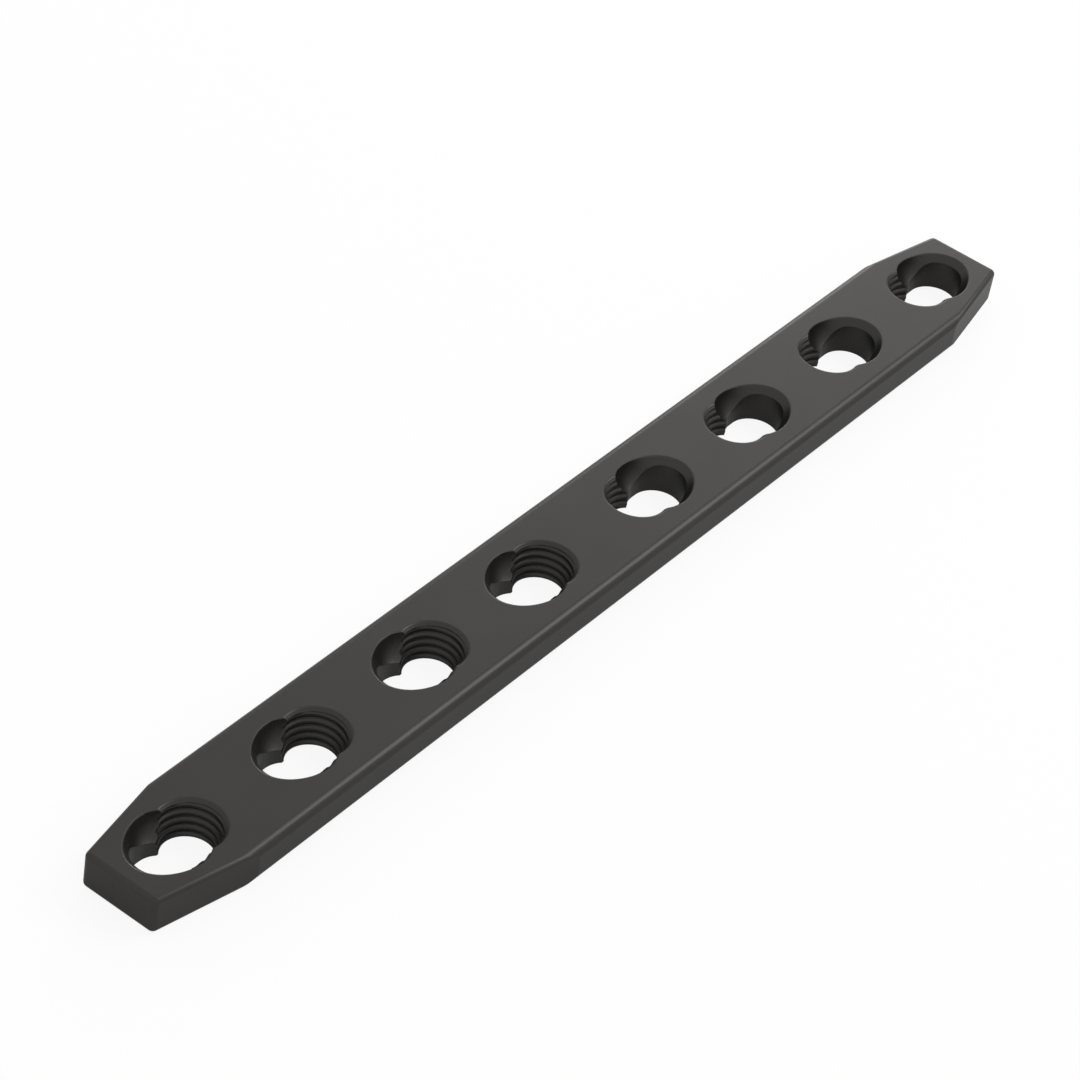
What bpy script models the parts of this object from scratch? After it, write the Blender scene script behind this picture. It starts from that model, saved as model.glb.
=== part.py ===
"""Locking compression plate with eight combination holes. Metres, +Z up, bone side down."""

import math

import bmesh
import bpy
from mathutils import Matrix, Vector

# Plate outline
HOLES_PER_SIDE = 4
HOLE_PITCH = 0.0130
MIDDLE_PITCH = 0.0128
END_LENGTH = 0.0065
WIDTH = 0.0098
THICKNESS = 0.0031
TAPER_LENGTH = 0.0087
TAPER_ANGLE = math.radians(11.0)

# Edge rounds
TOP_ROUND = 0.0007
BOTTOM_ROUND = 0.0008
END_ROUND = 0.0004
FLAT_CORNER_ROUND = 0.0001

# Locking lobe, on the side of the hole towards the middle of the plate
LOCKING_OFFSET = 0.0006
MOUTH_RADIUS = 0.0026
MOUTH_CHAMFER = 0.00024
BORE_HALF_ANGLE = math.radians(8.0)

# Compression lobe, on the side towards the end: a ball runs down a ramp above a slot
BALL_RADIUS = 0.0030
BALL_LIFT = 0.0006
BALL_OFFSET = 0.00145
RAMP_TRAVEL = 0.0015
RAMP_ANGLE = math.radians(45.0)
SLOT_RADIUS = 0.0020
SLOT_OFFSET = 0.00208
SLOT_TRAVEL = 0.0005

# Facets, the length by which a cutter passes a face, and the share of a wall that a round may take
ROUND_STEPS = 12
LOBE_STEPS = 72
BALL_STEPS = 16
CUT_PAST = 0.0010
ROUND_SHARE = 0.95
SHARP_ANGLE = math.radians(9.0)

HALF_LENGTH = MIDDLE_PITCH / 2 + (HOLES_PER_SIDE - 1) * HOLE_PITCH + END_LENGTH


def clear_scene():
    for obj in list(bpy.data.objects):
        bpy.data.objects.remove(obj, do_unlink=True)


def titanium():
    """Dark grey anodised titanium with a satin finish."""
    material = bpy.data.materials.new("anodised_titanium")
    material.use_nodes = True
    shader = material.node_tree.nodes["Principled BSDF"]
    shader.inputs["Base Color"].default_value = (0.075, 0.072, 0.070, 1.0)
    shader.inputs["Metallic"].default_value = 0.6
    shader.inputs["Roughness"].default_value = 0.45
    return material


def add_object(name, bm):
    """A new object in the scene that holds the mesh."""
    bmesh.ops.recalc_face_normals(bm, faces=bm.faces)
    mesh = bpy.data.meshes.new(name)
    bm.to_mesh(mesh)
    bm.free()
    obj = bpy.data.objects.new(name, mesh)
    bpy.context.scene.collection.objects.link(obj)
    return obj


def arc(centre, radius, start, sweep, steps):
    """Points along a circular arc in a plane."""
    points = []
    for i in range(steps + 1):
        angle = start + sweep * i / steps
        points.append((centre[0] + radius * math.cos(angle), centre[1] + radius * math.sin(angle)))
    return points


def rounded(corners, radii, steps):
    """A convex outline, given anticlockwise, with each corner rounded by its own radius."""
    points = []
    for i, corner in enumerate(corners):
        here = Vector(corner)
        back = (Vector(corners[i - 1]) - here).normalized()
        ahead = (Vector(corners[(i + 1) % len(corners)]) - here).normalized()
        if radii[i] <= 0:
            points.append(tuple(here))
            continue
        half = back.angle(ahead) / 2
        centre = here + (back + ahead).normalized() * radii[i] / math.sin(half)
        start = math.atan2(*reversed(here + back * radii[i] / math.tan(half) - centre))
        points += arc(centre, radii[i], start, math.pi - 2 * half, steps)
    return points


def prism(outline, low, high, place):
    """The outline drawn out between two heights, each point set by the place function."""
    bm = bmesh.new()
    bottom = [bm.verts.new(place(u, v, low)) for u, v in outline]
    top = [bm.verts.new(place(u, v, high)) for u, v in outline]
    bm.faces.new(bottom)
    bm.faces.new(top)
    for i in range(len(outline)):
        j = (i + 1) % len(outline)
        bm.faces.new((bottom[i], bottom[j], top[j], top[i]))
    return bm


def bar():
    """The long bar, with its four long edges rounded."""
    half = WIDTH / 2
    wall = THICKNESS / 2
    lower = min(BOTTOM_ROUND, ROUND_SHARE * wall)
    upper = min(TOP_ROUND, ROUND_SHARE * wall)
    section = rounded(
        [(-half, 0), (half, 0), (half, THICKNESS), (-half, THICKNESS)],
        [lower, lower, upper, upper],
        ROUND_STEPS,
    )
    past = HALF_LENGTH + CUT_PAST
    return add_object("plate", prism(section, -past, past, lambda u, v, w: (w, u, v)))


def end_outline(inset):
    """The plan of the tapered ends, drawn in by the inset. Between the tapers it is wider than the bar."""
    slope = math.tan(TAPER_ANGLE)
    taper_inset = inset / math.cos(TAPER_ANGLE)
    end = HALF_LENGTH - inset
    wide = WIDTH / 2 + CUT_PAST
    wide_at = HALF_LENGTH - TAPER_LENGTH - (CUT_PAST + taper_inset) / slope
    narrow = wide - (end - wide_at) * slope
    corners = [
        (-end, -narrow),
        (-wide_at, -wide),
        (wide_at, -wide),
        (end, -narrow),
        (end, narrow),
        (wide_at, wide),
        (-wide_at, wide),
        (-end, narrow),
    ]
    corner = FLAT_CORNER_ROUND + END_ROUND - inset
    return rounded(corners, [corner, 0, 0, corner, corner, 0, 0, corner], ROUND_STEPS)


def end_form():
    """A slab of the plate's thickness with tapered ends, rounded all round its top and bottom rims."""
    round_off = min(END_ROUND, ROUND_SHARE * THICKNESS / 2)
    bottom = arc((0, round_off), round_off, -math.pi / 2, math.pi / 2, ROUND_STEPS)
    top = arc((0, THICKNESS - round_off), round_off, 0, math.pi / 2, ROUND_STEPS)
    bm = bmesh.new()
    rows = []
    for out, height in bottom + top:
        rows.append([bm.verts.new((x, y, height)) for x, y in end_outline(round_off - out)])
    bm.faces.new(rows[0])
    bm.faces.new(rows[-1])
    for lower, upper in zip(rows, rows[1:]):
        for i in range(len(lower)):
            j = (i + 1) % len(lower)
            bm.faces.new((lower[i], lower[j], upper[j], upper[i]))
    return add_object("end_form", bm)


def hole_places():
    """Each hole's waist and turn: its locking lobe points along local +X, to the middle of the plate."""
    places = []
    for i in range(HOLES_PER_SIDE):
        waist = MIDDLE_PITCH / 2 + i * HOLE_PITCH
        places.append(Matrix.Translation((-waist, 0, 0)))
        places.append(Matrix.Translation((waist, 0, 0)) @ Matrix.Rotation(math.pi, 4, "Z"))
    return places


def at_every_hole(name, make):
    """One cutter object with a copy of the shape at every hole."""
    whole = bmesh.new()
    for place in hole_places():
        shape = make()
        shape.transform(place)
        mesh = bpy.data.meshes.new("piece")
        shape.to_mesh(mesh)
        shape.free()
        whole.from_mesh(mesh)
        bpy.data.meshes.remove(mesh)
    return add_object(name, whole)


def turned(profile, steps):
    """A solid turned about Z from (radius, height) points. The first and last lie on the axis."""
    bm = bmesh.new()
    low = bm.verts.new((0, 0, profile[0][1]))
    high = bm.verts.new((0, 0, profile[-1][1]))
    rings = []
    for radius, height in profile[1:-1]:
        circle = arc((0, 0), radius, 0, 2 * math.pi, steps)[:-1]
        rings.append([bm.verts.new((x, y, height)) for x, y in circle])
    for i in range(steps):
        j = (i + 1) % steps
        bm.faces.new((low, rings[0][j], rings[0][i]))
        bm.faces.new((high, rings[-1][i], rings[-1][j]))
        for lower, upper in zip(rings, rings[1:]):
            bm.faces.new((lower[i], lower[j], upper[j], upper[i]))
    return bm


def locking_lobe():
    """The conical bore for a locking screw's head, with the chamfer round its mouth."""
    low = -CUT_PAST
    shoulder = THICKNESS - MOUTH_CHAMFER
    high = THICKNESS + CUT_PAST
    wide = MOUTH_RADIUS - MOUTH_CHAMFER
    narrow = wide - (shoulder - low) * math.tan(BORE_HALF_ANGLE)
    profile = [(0, low), (narrow, low), (wide, shoulder), (MOUTH_RADIUS + CUT_PAST, high), (0, high)]
    bm = turned(profile, LOBE_STEPS)
    bm.transform(Matrix.Translation((LOCKING_OFFSET, 0, 0)))
    return bm


def compression_bowl():
    """The path of a round screw head, down a ramp towards the middle of the plate."""
    length = RAMP_TRAVEL / math.cos(RAMP_ANGLE)
    lower = arc((0, 0), BALL_RADIUS, -math.pi / 2, math.pi / 2, BALL_STEPS)
    upper = arc((0, length), BALL_RADIUS, 0, math.pi / 2, BALL_STEPS)
    bm = turned(lower + upper, LOBE_STEPS)
    bm.transform(Matrix.Rotation(RAMP_ANGLE - math.pi / 2, 4, "Y"))
    bm.transform(Matrix.Translation((-BALL_OFFSET, 0, THICKNESS + BALL_LIFT)))
    return bm


def shaft_slot():
    """The straight slot for the screw's shaft, right through the plate."""
    inner = (-SLOT_OFFSET, 0)
    outer = (-SLOT_OFFSET - SLOT_TRAVEL, 0)
    half_turn = LOBE_STEPS // 2
    outline = arc(inner, SLOT_RADIUS, -math.pi / 2, math.pi, half_turn)
    outline += arc(outer, SLOT_RADIUS, math.pi / 2, math.pi, half_turn)
    return prism(outline, -CUT_PAST, THICKNESS + CUT_PAST, lambda u, v, w: (u, v, w))


def use_boolean(obj, other, operation):
    """An exact Boolean with a helper object, which is then removed."""
    modifier = obj.modifiers.new(other.name, "BOOLEAN")
    modifier.operation = operation
    modifier.solver = "EXACT"
    modifier.object = other
    depsgraph = bpy.context.evaluated_depsgraph_get()
    obj.data = bpy.data.meshes.new_from_object(obj.evaluated_get(depsgraph))
    obj.modifiers.clear()
    bpy.data.objects.remove(other, do_unlink=True)


def build():
    clear_scene()
    plate = bar()
    plate.data.materials.append(titanium())
    use_boolean(plate, end_form(), "INTERSECT")
    use_boolean(plate, at_every_hole("shaft_slots", shaft_slot), "DIFFERENCE")
    use_boolean(plate, at_every_hole("compression_bowls", compression_bowl), "DIFFERENCE")
    use_boolean(plate, at_every_hole("locking_lobes", locking_lobe), "DIFFERENCE")
    plate.data.shade_smooth()
    plate.data.set_sharp_from_angle(angle=SHARP_ANGLE)
    shading = plate.modifiers.new("even_shading", "WEIGHTED_NORMAL")
    shading.keep_sharp = True


build()
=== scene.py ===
"""Looks of the locking compression plate: threaded holes, satin anodised titanium, white studio."""

import math

import bmesh
import bpy
from mathutils import Matrix, Vector


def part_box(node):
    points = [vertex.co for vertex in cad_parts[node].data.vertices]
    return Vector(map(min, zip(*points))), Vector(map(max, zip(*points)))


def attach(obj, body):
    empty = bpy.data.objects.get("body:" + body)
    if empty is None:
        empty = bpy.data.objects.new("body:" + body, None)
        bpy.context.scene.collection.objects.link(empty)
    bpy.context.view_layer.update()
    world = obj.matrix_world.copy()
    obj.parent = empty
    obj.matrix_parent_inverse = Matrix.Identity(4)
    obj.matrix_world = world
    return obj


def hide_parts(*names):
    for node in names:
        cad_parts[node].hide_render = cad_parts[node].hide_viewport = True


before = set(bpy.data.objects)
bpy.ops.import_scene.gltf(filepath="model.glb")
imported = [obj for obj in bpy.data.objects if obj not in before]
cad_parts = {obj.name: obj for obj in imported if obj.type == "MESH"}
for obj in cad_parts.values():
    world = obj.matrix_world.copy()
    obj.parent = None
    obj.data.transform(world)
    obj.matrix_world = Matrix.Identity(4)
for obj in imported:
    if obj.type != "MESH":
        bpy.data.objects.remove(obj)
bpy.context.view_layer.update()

# Holes, as the solid has them
HOLES_PER_SIDE = 4
HOLE_PITCH = 0.0130
MIDDLE_PITCH = 0.0128
LOCKING_OFFSET = 0.0006
MOUTH_RADIUS = 0.0026
MOUTH_CHAMFER = 0.00024
BORE_HALF_ANGLE = math.radians(8.0)

# Thread of the locking lobe, right-handed: rounded grooves between narrow crests.
# The profile gives the share of the depth at each row of one pitch, from crest to crest.
# The grooves fade in over the run-in, below the mouth's chamfer. The run-out is how many
# turns pass each face. At its crests the cutter stays clear of the bore's wall.
THREAD_PITCH = 0.00062
THREAD_DEPTH = 0.00016
THREAD_RUN_IN = 0.00010
THREAD_RUN_OUT = 2
THREAD_PROFILE = (0.0, 0.35, 0.80, 1.0, 0.80, 0.35)
THREAD_TURN_STEPS = 72
CREST_CLEARANCE = 0.00005

# Small break of the holes' top rims
RIM_BREAK = 0.00008
RIM_STEPS = 2
RIM_ROUNDNESS = 0.5
RIM_ANGLE = math.radians(25.0)
TOP_TOLERANCE = 1e-6

# Mesh clean-up
MERGE_DISTANCE = 1e-7
SHORTEST_EDGE = 2e-6
FLAT_ANGLE = math.radians(0.5)
SHARP_ANGLE = math.radians(9.0)

# Titanium: tones of the faint mottling, and the blasted grain in roughness and bump
METALLIC = 0.9
SPECULAR_TINT = (0.78, 0.78, 0.78, 1.0)
TONES = ((0.3, (0.0405, 0.0388, 0.0374, 1.0)), (0.7, (0.0440, 0.0422, 0.0407, 1.0)))
MOTTLE_SCALE = 180.0
MOTTLE_DETAIL = 4.0
GRAIN_SCALE = 9000.0
GRAIN_DETAIL = 3.0
SMOOTHEST = 0.36
ROUGHEST = 0.44
BUMP_STRENGTH = 0.25
BUMP_HEIGHT = 0.000004

# White studio. A ray's share of plain white is given for rays from the camera or through
# glass, and for rays off metal. The rest is the world's light or the lit, shadowed floor.
WHITE = (1.0, 1.0, 1.0, 1.0)
WORLD_SHARES = (1.0, 1.0)
WORLD_LIGHT = 0.75
FLOOR_SHARES = (0.89, 0.35)
FLOOR_COLOUR = (0.9, 0.9, 0.9, 1.0)
FLOOR_ROUGHNESS = 0.9
FLOOR_SIZE = 3.0
FLOOR_GAP = 0.00002

# Softboxes: a high one beyond the plate on the right, and a low one straight behind it
SOFTBOX_WIDTH = 0.22
KEY_AT = (0.306, -0.177, 0.354)
KEY_WATTS = 0.84
SHEEN_AT = (0.418, 0.241, 0.129)
SHEEN_WATTS = 0.68

# Camera: the photograph is squeezed sideways, and this is the nearest view with square pixels
CAMERA_AT = (-0.1936, -0.1136, 0.1883)
CAMERA_AZIMUTH = math.radians(58.67)
CAMERA_DOWN = math.radians(39.83)
CAMERA_ROLL = math.radians(10.25)
CAMERA_LENS = 129.8
CAMERA_CLIP_START = 0.01

LOW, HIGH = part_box("plate")
THICKNESS = HIGH.z - LOW.z


def tree_calls(tree):
    """The calls that add a node and a link to a material's or the world's tree."""
    return tree.nodes.new, tree.links.new


def noise(new, link, place, scale, detail):
    """The value of a noise texture at the place."""
    texture = new("ShaderNodeTexNoise")
    texture.inputs["Scale"].default_value = scale
    texture.inputs["Detail"].default_value = detail
    link(place, texture.inputs["Vector"])
    return texture.outputs["Fac"]


def titanium():
    """Satin dark grey anodised titanium: fine blasted grain, faint mottling of tone and gloss."""
    material = bpy.data.materials.new("anodised_titanium")
    material.use_nodes = True
    new, link = tree_calls(material.node_tree)
    shader = material.node_tree.nodes["Principled BSDF"]
    shader.inputs["Metallic"].default_value = METALLIC
    shader.inputs["Specular Tint"].default_value = SPECULAR_TINT
    place = new("ShaderNodeTexCoord").outputs["Object"]

    tone = new("ShaderNodeValToRGB")
    for element, (position, colour) in zip(tone.color_ramp.elements, TONES):
        element.position = position
        element.color = colour
    link(noise(new, link, place, MOTTLE_SCALE, MOTTLE_DETAIL), tone.inputs["Fac"])
    link(tone.outputs["Color"], shader.inputs["Base Color"])

    grain = noise(new, link, place, GRAIN_SCALE, GRAIN_DETAIL)
    gloss = new("ShaderNodeMapRange")
    gloss.inputs["To Min"].default_value = SMOOTHEST
    gloss.inputs["To Max"].default_value = ROUGHEST
    link(grain, gloss.inputs["Value"])
    link(gloss.outputs["Result"], shader.inputs["Roughness"])

    bump = new("ShaderNodeBump")
    bump.inputs["Strength"].default_value = BUMP_STRENGTH
    bump.inputs["Distance"].default_value = BUMP_HEIGHT
    link(grain, bump.inputs["Height"])
    link(bump.outputs["Normal"], shader.inputs["Normal"])
    return material


def add_object(name, bm):
    """A new object in the scene that holds the mesh."""
    mesh = bpy.data.meshes.new(name)
    bm.to_mesh(mesh)
    bm.free()
    obj = bpy.data.objects.new(name, mesh)
    bpy.context.scene.collection.objects.link(obj)
    return obj


def solid_copy(name, node):
    """A new object with the solid's surface, its flat faces whole again."""
    bm = bmesh.new()
    bm.from_mesh(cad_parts[node].data)
    bmesh.ops.remove_doubles(bm, verts=bm.verts, dist=MERGE_DISTANCE)
    bmesh.ops.dissolve_limit(bm, angle_limit=FLAT_ANGLE, verts=bm.verts, edges=bm.edges)
    return add_object(name, bm)


def clean(bm):
    """Removes the tiny edges that a Boolean leaves, and points with only two edges.

    The export would turn such points into flaps.
    """
    bmesh.ops.dissolve_degenerate(bm, dist=SHORTEST_EDGE, edges=bm.edges)
    bmesh.ops.dissolve_verts(bm, verts=[v for v in bm.verts if len(v.link_edges) == 2])


def break_rims(obj):
    """Breaks the sharp rims of the holes in the top face with a small round."""
    bm = bmesh.new()
    bm.from_mesh(obj.data)
    clean(bm)
    rims = []
    for edge in bm.edges:
        on_top = all(abs(v.co.z - HIGH.z) < TOP_TOLERANCE for v in edge.verts)
        if on_top and edge.calc_face_angle(0) > RIM_ANGLE:
            rims.append(edge)
    bmesh.ops.bevel(
        bm,
        geom=rims,
        offset=RIM_BREAK,
        segments=RIM_STEPS,
        profile=RIM_ROUNDNESS,
        affect="EDGES",
    )
    clean(bm)
    bm.to_mesh(obj.data)
    bm.free()


def thread_grooves():
    """A conical screw whose rows climb one pitch a turn, through the rows of the profile."""
    bm = bmesh.new()
    steps = THREAD_TURN_STEPS
    per_turn = len(THREAD_PROFILE)
    start = -THREAD_RUN_OUT * THREAD_PITCH
    turns = math.ceil(THICKNESS / THREAD_PITCH) + 2 * THREAD_RUN_OUT
    shoulder = THICKNESS - MOUTH_CHAMFER
    reach = THREAD_DEPTH + CREST_CLEARANCE
    rows = []
    for i in range(per_turn * turns + 1):
        row = []
        for j in range(steps):
            height = start + THREAD_PITCH * (i / per_turn + j / steps)
            below = shoulder - height
            wall = MOUTH_RADIUS - MOUTH_CHAMFER - below * math.tan(BORE_HALF_ANGLE)
            fade = min(max(below / THREAD_RUN_IN, 0), 1)
            cut = reach * THREAD_PROFILE[i % per_turn] * fade - CREST_CLEARANCE
            radius = wall + cut
            angle = 2 * math.pi * (j + 0.5) / steps
            row.append(bm.verts.new((radius * math.cos(angle), radius * math.sin(angle), height)))
        rows.append(row)
    for lower, upper in zip(rows, rows[1:]):
        for j in range(steps - 1):
            bm.faces.new((lower[j], lower[j + 1], upper[j + 1], upper[j]))

    # A row ends one pitch higher than it starts, so the seam joins it to the row a pitch above
    for i in range(len(rows) - per_turn - 1):
        above = rows[i + per_turn][0]
        bm.faces.new((rows[i][-1], above, rows[i + per_turn + 1][0], rows[i + 1][-1]))
    low = bm.verts.new((0, 0, rows[0][0].co.z - THREAD_PITCH))
    high = bm.verts.new((0, 0, rows[-1][-1].co.z + THREAD_PITCH))
    first = rows[0] + [rows[k][0] for k in range(per_turn, 0, -1)]
    last = rows[-1] + [rows[-1 - k][-1] for k in range(1, per_turn + 1)]
    for ring, tip in ((first, low), (last, high)):
        for i, vert in enumerate(ring):
            bm.faces.new((tip, vert, ring[(i + 1) % len(ring)]))
    bm.transform(Matrix.Translation((LOCKING_OFFSET, 0, 0)))
    return bm


def at_every_hole(name, make):
    """One object with a copy of the shape at every hole, local +X towards the plate's middle."""
    whole = bmesh.new()
    for i in range(HOLES_PER_SIDE):
        waist = MIDDLE_PITCH / 2 + i * HOLE_PITCH
        left = Matrix.Translation((-waist, 0, 0))
        right = Matrix.Rotation(math.pi, 4, "Z") @ left
        for place in (left, right):
            shape = make()
            shape.transform(place)
            mesh = bpy.data.meshes.new("piece")
            shape.to_mesh(mesh)
            shape.free()
            whole.from_mesh(mesh)
            bpy.data.meshes.remove(mesh)
    bmesh.ops.recalc_face_normals(whole, faces=whole.faces)
    return add_object(name, whole)


def cut_away(obj, cutter):
    """Subtracts the cutter with an exact Boolean and removes it."""
    modifier = obj.modifiers.new(cutter.name, "BOOLEAN")
    modifier.operation = "DIFFERENCE"
    modifier.solver = "EXACT"
    modifier.object = cutter
    depsgraph = bpy.context.evaluated_depsgraph_get()
    obj.data = bpy.data.meshes.new_from_object(obj.evaluated_get(depsgraph))
    obj.modifiers.clear()
    bpy.data.objects.remove(cutter, do_unlink=True)


def threaded_plate():
    """The plate's solid with its threads cut and its top rims broken."""
    plate = solid_copy("threaded_plate", "plate")
    cut_away(plate, at_every_hole("thread_grooves", thread_grooves))
    break_rims(plate)
    plate.data.materials.clear()
    plate.data.materials.append(titanium())
    plate.data.shade_smooth()
    plate.data.set_sharp_from_angle(angle=SHARP_ANGLE)
    shading = plate.modifiers.new("even_shading", "WEIGHTED_NORMAL")
    shading.keep_sharp = True
    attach(plate, "root")
    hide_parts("plate")


def white_share(new, link, directly, mirrored):
    """A ray's share of plain white: from the camera or through glass, and off metal."""
    path = new("ShaderNodeLightPath")
    shares = {
        "Is Camera Ray": directly,
        "Is Transmission Ray": directly,
        "Is Glossy Ray": mirrored,
    }
    total = None
    for name, share in shares.items():
        part = new("ShaderNodeMath")
        part.operation = "MULTIPLY"
        part.inputs[1].default_value = share
        link(path.outputs[name], part.inputs[0])
        if total is None:
            total = part.outputs[0]
            continue
        larger = new("ShaderNodeMath")
        larger.operation = "MAXIMUM"
        link(total, larger.inputs[0])
        link(part.outputs[0], larger.inputs[1])
        total = larger.outputs[0]
    return total


def white_world():
    """White where it is seen, and a plain level of light on the plate."""
    world = bpy.data.worlds.new("studio")
    world.use_nodes = True
    bpy.context.scene.world = world
    new, link = tree_calls(world.node_tree)
    light = world.node_tree.nodes["Background"]
    light.inputs["Color"].default_value = WHITE
    light.inputs["Strength"].default_value = WORLD_LIGHT
    shown = new("ShaderNodeBackground")
    shown.inputs["Color"].default_value = WHITE
    shown.inputs["Strength"].default_value = 1.0
    mix = new("ShaderNodeMixShader")
    link(white_share(new, link, *WORLD_SHARES), mix.inputs["Fac"])
    link(light.outputs["Background"], mix.inputs[1])
    link(shown.outputs["Background"], mix.inputs[2])
    link(mix.outputs["Shader"], world.node_tree.nodes["World Output"].inputs["Surface"])


def floor():
    """A white floor that keeps a faint shadow. It is one-sided, so the underside can be seen."""
    bm = bmesh.new()
    bmesh.ops.create_grid(bm, x_segments=1, y_segments=1, size=FLOOR_SIZE)
    bm.transform(Matrix.Translation((0, 0, LOW.z - FLOOR_GAP)))
    plane = add_object("floor", bm)
    material = bpy.data.materials.new("white_floor")
    material.use_nodes = True
    new, link = tree_calls(material.node_tree)
    shader = material.node_tree.nodes["Principled BSDF"]
    shader.inputs["Base Color"].default_value = FLOOR_COLOUR
    shader.inputs["Roughness"].default_value = FLOOR_ROUGHNESS
    glow = new("ShaderNodeEmission")
    upper = new("ShaderNodeMixShader")
    link(white_share(new, link, *FLOOR_SHARES), upper.inputs["Fac"])
    link(shader.outputs["BSDF"], upper.inputs[1])
    link(glow.outputs["Emission"], upper.inputs[2])
    side = new("ShaderNodeNewGeometry")
    clear = new("ShaderNodeBsdfTransparent")
    one_sided = new("ShaderNodeMixShader")
    link(side.outputs["Backfacing"], one_sided.inputs["Fac"])
    link(upper.outputs["Shader"], one_sided.inputs[1])
    link(clear.outputs["BSDF"], one_sided.inputs[2])
    surface = material.node_tree.nodes["Material Output"].inputs["Surface"]
    link(one_sided.outputs["Shader"], surface)
    plane.data.materials.append(material)


def softbox(name, place, watts):
    """A square area light aimed at the middle of the plate."""
    lamp = bpy.data.lights.new(name, "AREA")
    lamp.shape = "SQUARE"
    lamp.size = SOFTBOX_WIDTH
    lamp.energy = watts
    obj = bpy.data.objects.new(name, lamp)
    obj.location = place
    obj.rotation_euler = (-Vector(place)).to_track_quat("-Z", "Y").to_euler()
    bpy.context.scene.collection.objects.link(obj)


def camera():
    """The photograph's view, as near as square pixels allow."""
    data = bpy.data.cameras.new("photo_view")
    data.lens = CAMERA_LENS
    data.clip_start = CAMERA_CLIP_START
    obj = bpy.data.objects.new("photo_view", data)
    turn = Matrix.Rotation(-CAMERA_AZIMUTH, 4, "Z")
    tilt = Matrix.Rotation(math.pi / 2 - CAMERA_DOWN, 4, "X")
    roll = Matrix.Rotation(CAMERA_ROLL, 4, "Z")
    obj.matrix_world = Matrix.Translation(CAMERA_AT) @ turn @ tilt @ roll
    bpy.context.scene.collection.objects.link(obj)
    bpy.context.scene.camera = obj


camera()
threaded_plate()
white_world()
floor()
softbox("key", KEY_AT, KEY_WATTS)
softbox("sheen", SHEEN_AT, SHEEN_WATTS)
bpy.context.scene.view_settings.view_transform = "Standard"
